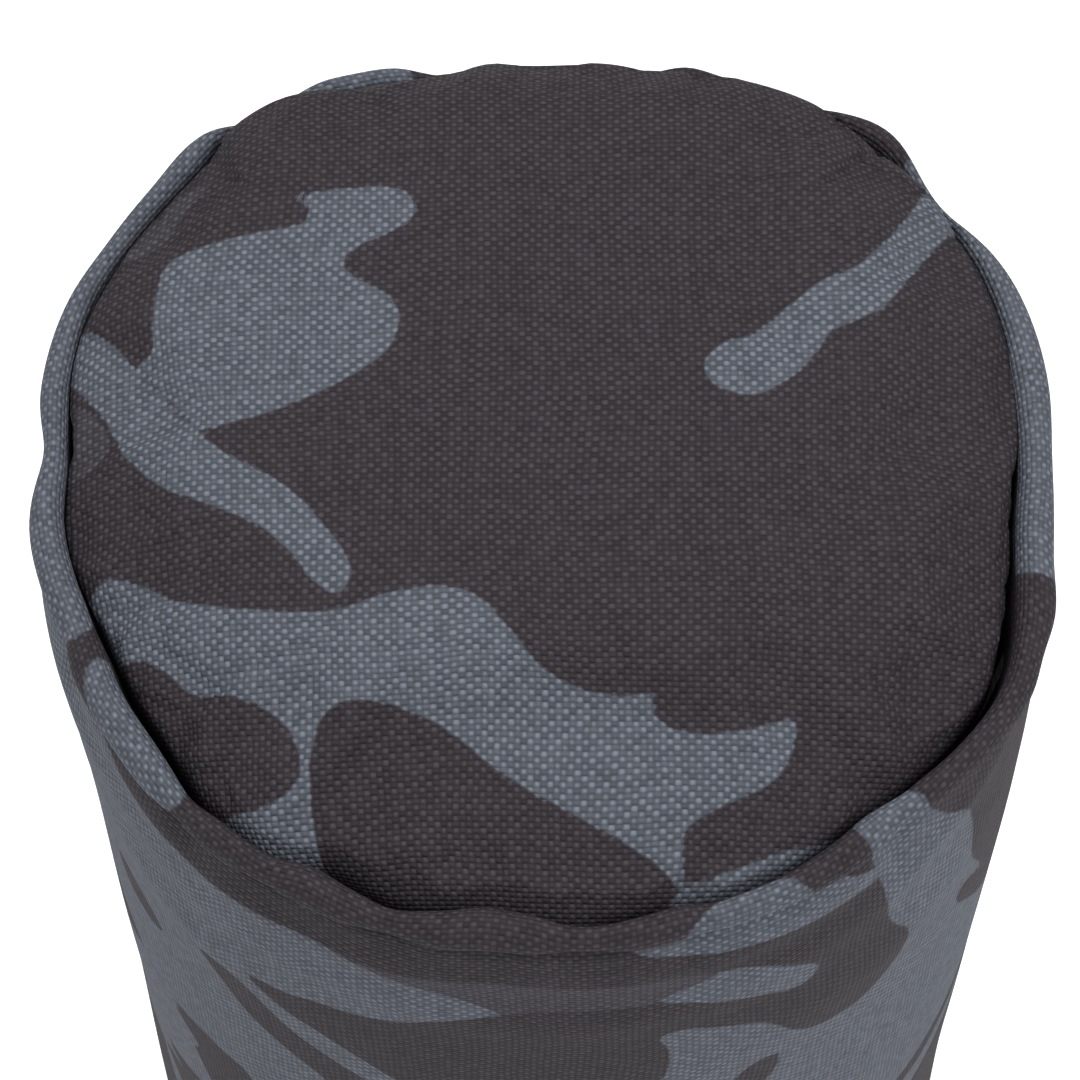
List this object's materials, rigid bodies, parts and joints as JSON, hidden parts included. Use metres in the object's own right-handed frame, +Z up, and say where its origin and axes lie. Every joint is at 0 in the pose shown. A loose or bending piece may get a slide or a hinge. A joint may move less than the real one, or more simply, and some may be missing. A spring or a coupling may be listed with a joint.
{
  "type": "training bumper",
  "caption": "Stuffed fabric cylinder with sewn round ends, thrown for a dog to fetch, with a swinging D-ring for its throw cord.",
  "frame": {"origin": "centre of the flat underside, where the bumper stands on its base cap", "axes": "+Z up along the cylinder's axis towards the domed top cap, +Y towards the back, where the lengthwise seam, the webbing tab and the D-ring are, +X to the right seen from the front"},
  "size_m": [0.08, 0.087, 0.3],
  "materials": {
    "camouflage_cloth": "coarse plain-weave coated polyester, printed in dark charcoal and slate-blue camouflage, matt",
    "seam_tape": "black twill tape, matt",
    "thread": "bonded polyester thread, slight sheen",
    "webbing": "black woven polypropylene webbing",
    "foam": "closed-cell foam",
    "wadding": "polyester wadding",
    "ring_steel": "nickel-plated steel wire, satin"
  },
  "bodies": {
    "bumper": {"sleeve": "camouflage_cloth", "top_cap": "camouflage_cloth", "base_cap": "camouflage_cloth", "anchor_backing_patch": "camouflage_cloth", "top_seam_binding": "seam_tape", "base_seam_binding": "seam_tape", "side_seam_tape": "seam_tape", "top_seam_thread": "thread", "base_seam_thread": "thread", "side_seam_thread_left": "thread", "side_seam_thread_right": "thread", "anchor_box_stitch": "thread", "foam_core": "foam", "wadding_wrap": "wadding", "top_end_pad": "wadding", "base_end_pad": "wadding", "anchor_webbing": "webbing"},
    "ring": {"d_ring": "ring_steel"}
  },
  "joints": [
    {"name": "d_ring_swing", "type": "hinge", "parent": "bumper", "child": "ring", "pos_m": [0, 0.04355, 0.027], "axis": [1, 0, 0], "range_deg": [-5, 165]}
  ]
}
